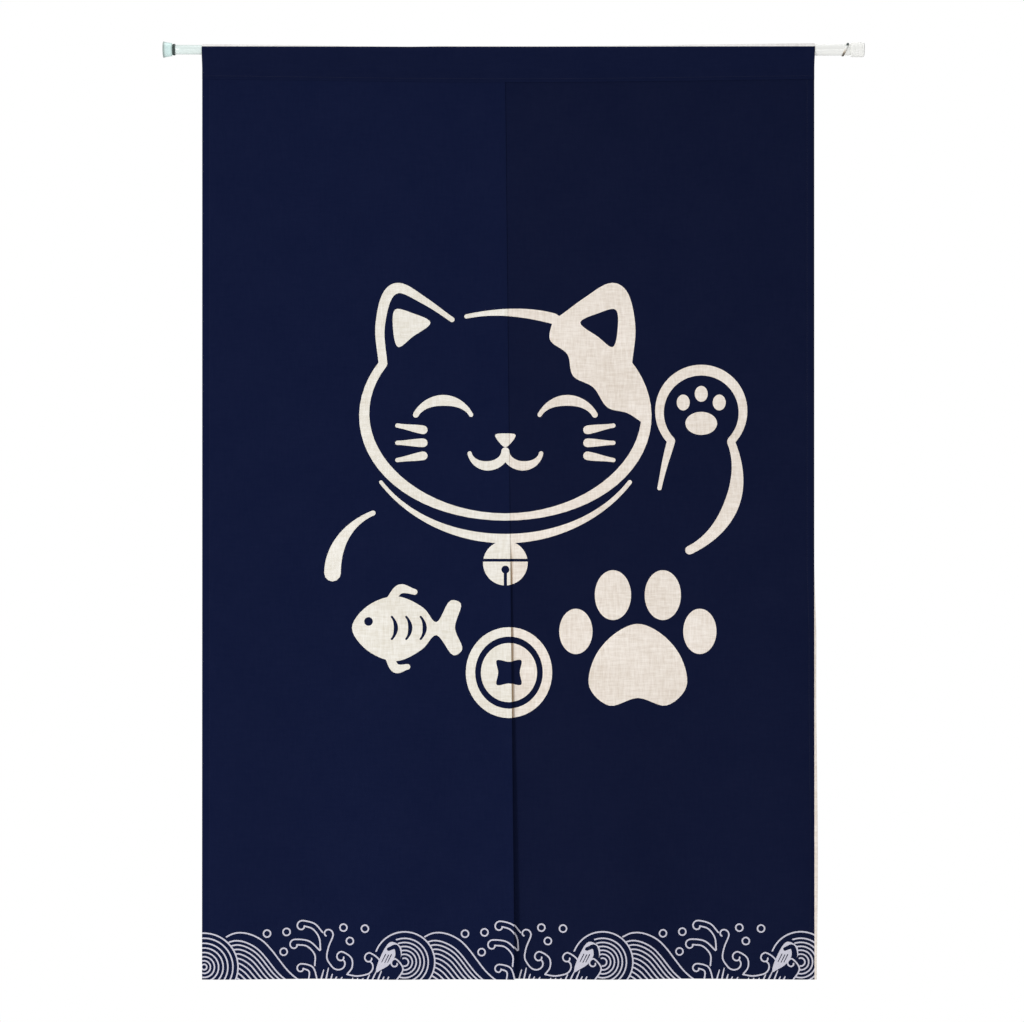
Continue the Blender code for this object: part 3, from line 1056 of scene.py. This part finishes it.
def make_turned(name, node, profile, material, slant=0.0, rounding=0.35 * MM):
    """Spin (x, radius) points about the rod's axis and round the edges.

    A profile that ends off the axis is a ring's, and is closed on itself.
    """
    form = bmesh.new()
    points = [form.verts.new((x, 0.0, radius)) for x, radius in profile]
    edges = [form.edges.new(pair) for pair in zip(points, points[1:])]
    if profile[-1][1] > 0.0:
        edges.append(form.edges.new((points[-1], points[0])))
    bmesh.ops.spin(form, geom=points + edges, cent=(0, 0, 0), axis=(1, 0, 0),
                   angle=math.tau, steps=ROUND_STEPS, use_merge=True)
    bmesh.ops.remove_doubles(form, verts=form.verts, dist=0.00001)
    for vert in form.verts:
        vert.co.x += slant * vert.co.z
    bmesh.ops.recalc_face_normals(form, faces=form.faces)
    piece = meshed(name, form, material)
    bevel = piece.modifiers.new("rounding", "BEVEL")
    bevel.width = rounding
    bevel.segments = 3
    bevel.limit_method = "ANGLE"
    bevel.angle_limit = math.radians(28)
    stand_for(piece, node)


# The CAD's own rod sizes, repeated here
SOCKET_FLOOR = 5.0 * MM
LEFT_CAP_FACE_RADIUS = 10.9 * MM
LEFT_CAP_WAIST_RADIUS = 8.9 * MM
LEFT_CAP_EDGE = 0.7 * MM
RIGHT_CAP_GROOVE = 0.5 * MM
RIGHT_CAP_RIBS = 3
RIGHT_CAP_RIB_SHARE = 0.68
RIGHT_CAP_EDGE = 1.2 * MM
RIGHT_RING_CENTRE = 947.0 * MM
RIGHT_RING_WIDTH = 3.0 * MM
RIGHT_RING_RADIUS = 9.4 * MM
RIGHT_RING_SLANT = 0.40
FINE_RIB_DEPTH = 0.18 * MM
FINE_RIBS = 9
FLARE_STEPS = 8
FLARE_POWER = 0.62  # under 1, so that the flare widens fastest near the face
# Edges of the shallow ring in each cap's face, from outside in, as shares of its radius
LEFT_CAP_DISH = (0.60, 0.58, 0.30, 0.28)
RIGHT_CAP_DISH = (0.55, 0.53, 0.28, 0.26)


def socket_profile(floor, mouth, radius, lip):
    """The first points of a cap's profile: up its socket's floor and out to its mouth's lip."""
    return [(floor, 0.0), (floor, radius), (mouth, radius), (mouth, lip)]


def dished_face(x, depth, radius, shares):
    """The last points of a cap's profile: a shallow ring sunk in its face, then the axis."""
    sinks = (0.0, depth, depth, 0.0)
    return [(x + sink, share * radius) for sink, share in zip(sinks, shares)] + [(x, 0.0)]


def make_left_cap(material):
    """A cap that flares smoothly from its waist to the face that presses on the wall."""
    length = LEFT_CAP_BOX[1].x
    rim = LEFT_CAP_BOX[1].y
    flare = []
    for index in range(FLARE_STEPS + 1):
        along = blend(length - LEFT_CAP_EDGE, 2 * LEFT_CAP_EDGE, index / FLARE_STEPS)
        narrowed = (along / length) ** FLARE_POWER
        flare.append((along, blend(rim, LEFT_CAP_WAIST_RADIUS, narrowed)))
    profile = [
        *socket_profile(SOCKET_FLOOR - PIECE_GAP, length, THIN_RADIUS + SLIDE_GAP,
                        LEFT_CAP_WAIST_RADIUS - LEFT_CAP_EDGE),
        *flare,
        (LEFT_CAP_EDGE, rim),
        (0.0, LEFT_CAP_FACE_RADIUS),
        *dished_face(0.0, FINE_RIB_DEPTH, LEFT_CAP_FACE_RADIUS, LEFT_CAP_DISH),
    ]
    make_turned("end_cap_left", "left_cap", profile, material,
                rounding=0.25 * MM)


def make_right_cap(material):
    """A nearly straight cap: three broad ribs, each with fine ribs on it."""
    radius = RIGHT_CAP_BOX[1].y
    inner_end = RIGHT_CAP_BOX[0].x
    pitch = (ROD_LENGTH - inner_end - 2 * RIGHT_CAP_EDGE) / RIGHT_CAP_RIBS
    ribs = []
    for rib in range(RIGHT_CAP_RIBS):
        start = inner_end + RIGHT_CAP_EDGE + rib * pitch
        end = start + pitch * RIGHT_CAP_RIB_SHARE
        fine = 2 * (FINE_RIBS // RIGHT_CAP_RIBS)
        for index in range(fine + 1):
            ribs.append((blend(start, end, index / fine), radius - FINE_RIB_DEPTH * (index % 2)))
        ribs.append((blend(end, start + pitch, 0.5), radius - RIGHT_CAP_GROOVE))
    profile = [
        *socket_profile(ROD_LENGTH - SOCKET_FLOOR + PIECE_GAP, inner_end,
                        THICK_RADIUS + SLIDE_GAP, radius - RIGHT_CAP_EDGE),
        *ribs,
        (ROD_LENGTH - RIGHT_CAP_EDGE, radius),
        (ROD_LENGTH, radius - RIGHT_CAP_EDGE),
        *dished_face(ROD_LENGTH, -FINE_RIB_DEPTH, radius, RIGHT_CAP_DISH),
    ]
    make_turned("end_cap_right", "right_cap", profile, material,
                rounding=0.2 * MM)


def ring_profile(centre, width, inner, outer):
    """A ring's section with a rounded outside."""
    half = width / 2
    crown = 0.6 * (outer - inner)
    top = arc((centre, outer - crown), half, 180, 0, 8, crown)
    return [(centre - half, inner), *top, (centre + half, inner)]


def make_rings(rubber, painted_highlight_ring):
    centre = (LEFT_RING_BOX[0].x + LEFT_RING_BOX[1].x) / 2
    width = LEFT_RING_BOX[1].x - LEFT_RING_BOX[0].x
    left = ring_profile(centre, width, THIN_RADIUS + SLIDE_GAP, LEFT_RING_BOX[1].y)
    make_turned("rubber_ring", "left_ring", left, rubber)
    right = ring_profile(RIGHT_RING_CENTRE, RIGHT_RING_WIDTH, THICK_RADIUS + SLIDE_GAP,
                         RIGHT_RING_RADIUS)
    make_turned("slanted_ring", "right_ring", right, painted_highlight_ring,
                slant=RIGHT_RING_SLANT)


def enamel(name, colour, cloud_colour):
    return moulded(name, colour, cloud_colour, 0.28, skin_scale=600, skin=0.04, coat=0.35)[0]


def make_rod():
    thin_enamel = enamel("thin_enamel", (0.75, 0.86, 0.83), (0.79, 0.88, 0.86))
    thick_enamel = enamel("thick_enamel", (0.97, 0.97, 0.94), (0.92, 0.93, 0.90))
    # The mint cap darkens towards both ends: painted shade at its face on the wall and at its inner
    # end
    mint = banded("mint_plastic_painted_shade", 0, 0.0, LEFT_CAP_BOX[1].x, (
        (0.0, (0.34, 0.42, 0.40)), (0.12, (0.42, 0.52, 0.50)), (0.28, (0.66, 0.84, 0.82)),
        (0.75, (0.70, 0.90, 0.88)), (1.0, (0.52, 0.66, 0.63))), 0.42)
    white = moulded("white_moulding", (0.98, 0.98, 0.95), (0.95, 0.95, 0.92), 0.42)[0]
    rubber = moulded("dark_rubber_ring", (0.020, 0.040, 0.036), (0.035, 0.055, 0.05), 0.65,
                     skin_scale=1800, skin=0.25)[0]
    # The slanted ring is dark at its top and bottom, and the pale band across its middle is a
    # painted highlight
    ring = banded("ring_painted_highlight", 2, -RIGHT_RING_RADIUS, RIGHT_RING_RADIUS, (
        (0.0, (0.10, 0.085, 0.07)), (0.16, (0.16, 0.13, 0.10)), (0.26, (0.50, 0.42, 0.32)),
        (0.42, (0.82, 0.78, 0.72)), (0.56, (0.90, 0.90, 0.88)), (0.70, (0.84, 0.86, 0.84)),
        (0.77, (0.012, 0.040, 0.034)), (1.0, (0.010, 0.030, 0.026))), 0.5)
    make_tube("thin_tube", THIN_BOX, thin_enamel)
    make_tube("thick_tube", THICK_BOX, thick_enamel)
    make_left_cap(mint)
    make_right_cap(white)
    make_rings(rubber, ring)


# --- the cloth

LINE_TONES = ((0.63, 0.62, 0.69), (0.55, 0.54, 0.64))
# (where, navy, its light threads, bare cloth, its light threads)
FRONT_TONES = (
    ("left", (0.0043, 0.0078, 0.0335), (0.0068, 0.0108, 0.04), (0.75, 0.70, 0.60),
     (0.95, 0.92, 0.86)),
    ("right", (0.0043, 0.0072, 0.029), (0.0066, 0.0098, 0.034), (0.74, 0.65, 0.56),
     (0.97, 0.90, 0.83)),
    ("heading", (0.0043, 0.0075, 0.031), (0.0067, 0.0103, 0.037), (0.74, 0.72, 0.70),
     (0.95, 0.94, 0.93)),
)


def make_cloth():
    navy_back = linen("navy_back", (0.048, 0.056, 0.108), (0.085, 0.095, 0.15), 0.9, 0.5)
    line_back = linen("line_back", (0.33, 0.32, 0.36), (0.42, 0.41, 0.44), 0.8, 0.5)
    bare_back = linen("bare_back", (0.58, 0.53, 0.46), (0.68, 0.63, 0.56), 0.9, 0.5)
    front = {}
    for where, navy, navy_light, bare, bare_light in FRONT_TONES:
        front[where] = {
            NAVY: (linen(where + "_navy", navy, navy_light, 0.7, 0.8, 0.0, 0.03), navy_back),
            # The right panel's bare cloth gets the painted warm shadow beside the slit
            BARE: (linen(where + "_bare", bare, bare_light, 1.1, 0.9, slit_shade=where == "right"),
                   bare_back),
            LINE: (linen(where + "_line", *LINE_TONES, 0.7, 0.5), line_back),
        }
    # (side, its edges, its folds, its layer, its hems, the index of its outer hem)
    sides = (
        ("left", left_panel_edges, LEFT_FOLDS, -PANEL_LAYER_Y, (HEM_OUTER, HEM_INNER), 0),
        ("right", right_panel_edges, RIGHT_FOLDS, PANEL_LAYER_Y, (HEM_INNER, HEM_OUTER), 1),
    )
    panels = [make_panel(*row, front[row[0]]) for row in sides]
    heading = make_heading(front["heading"])
    thread = moulded("navy_sewing_thread", (0.008, 0.011, 0.038), (0.005, 0.008, 0.03), 0.7,
                     skin_scale=2500, skin=0.5)[0]
    length = panel_top(0.0) - CLOTH_BOTTOM
    for (side, edges_at, _, _, hems, outer), (panel, surface) in zip(sides, panels):
        runs = panel_stitch_runs(edges_at, surface, hems, outer)
        stitches = make_stitches(side + "_hem_stitches", runs, thread)
        low, high = edges_at(0.5)
    stitches = make_stitches("heading_stitches", heading_stitch_runs(), thread)


# --- the studio

FLOOR_HEIGHT = -2.0
FLOOR_RADIUS = 2.6
FLOOR_GLOW = 0.2
WORLD_LIGHT = 0.26  # how strongly the white world lights the object
BACKGROUND_LIGHT = 1.0  # how bright the camera sees it
# (name, place, diameter, watts)
LIGHTS = (
    ("key", (-3.2, -4.2, 0.4), 1.3, 150),
    ("fill", (0.5, -5.0, -1.0), 2.2, 53),
    ("back", (0.9, 3.0, 0.8), 2.0, 50),
    ("top", (0.48, 0.1, 1.9), 1.2, 22),
)


def make_floor():
    """A round pale floor that fades into the white background towards its rim."""
    material, tree, shader = new_material("pale_floor", 0.8)
    shader.inputs["Base Color"].default_value = (0.90, 0.90, 0.89, 1.0)
    shader.inputs["Emission Color"].default_value = (1.0, 1.0, 1.0, 1.0)
    shader.inputs["Emission Strength"].default_value = FLOOR_GLOW
    place = add_node(tree, "TexCoord").outputs["Object"]
    reach = add_node(tree, "VectorMath", {0: place}, operation="LENGTH").outputs["Value"]
    fade = ranged(tree, reach, 0.3 * FLOOR_RADIUS, 0.97 * FLOOR_RADIUS,
                  interpolation_type="SMOOTHSTEP")
    white = add_node(tree, "Emission", {"Strength": 1.0}).outputs[0]
    blended = add_node(tree, "MixShader", {0: fade, 1: shader.outputs[0], 2: white})
    tree.links.new(blended.outputs[0], tree.nodes["Material Output"].inputs["Surface"])
    form = bmesh.new()
    bmesh.ops.create_circle(form, cap_ends=True, segments=96, radius=FLOOR_RADIUS)
    floor = meshed("floor", form, material)
    floor.location = (VIEW_CENTRE.x, 0.0, FLOOR_HEIGHT)


def add_light(name, place, size, watts):
    data = bpy.data.lights.new(name, "AREA")
    data.shape = "DISK"
    data.size = size
    data.energy = watts
    light = placed(name, data)
    light.location = place
    light.rotation_euler = (VIEW_CENTRE - Vector(place)).to_track_quat("-Z", "Y").to_euler()


def make_world():
    """Soft light all round, and a plain white behind the object in the camera's view."""
    world = bpy.data.worlds.new("studio")
    world.use_nodes = True
    tree = world.node_tree
    shader = tree.nodes["Background"]
    path = add_node(tree, "LightPath")
    ends = {"Factor": path.outputs["Is Camera Ray"], "A": WORLD_LIGHT, "B": BACKGROUND_LIGHT}
    strength = add_node(tree, "Mix", ends)
    tree.links.new(strength.outputs["Result"], shader.inputs["Strength"])
    shader.inputs["Color"].default_value = (1.0, 1.0, 1.0, 1.0)
    bpy.context.scene.world = world


def make_studio():
    make_world()
    for row in LIGHTS:
        add_light(*row)
    make_floor()
    view = bpy.context.scene.view_settings
    view.view_transform = "Standard"
    view.look = "None"


make_camera()
make_rod()
make_cloth()
make_studio()
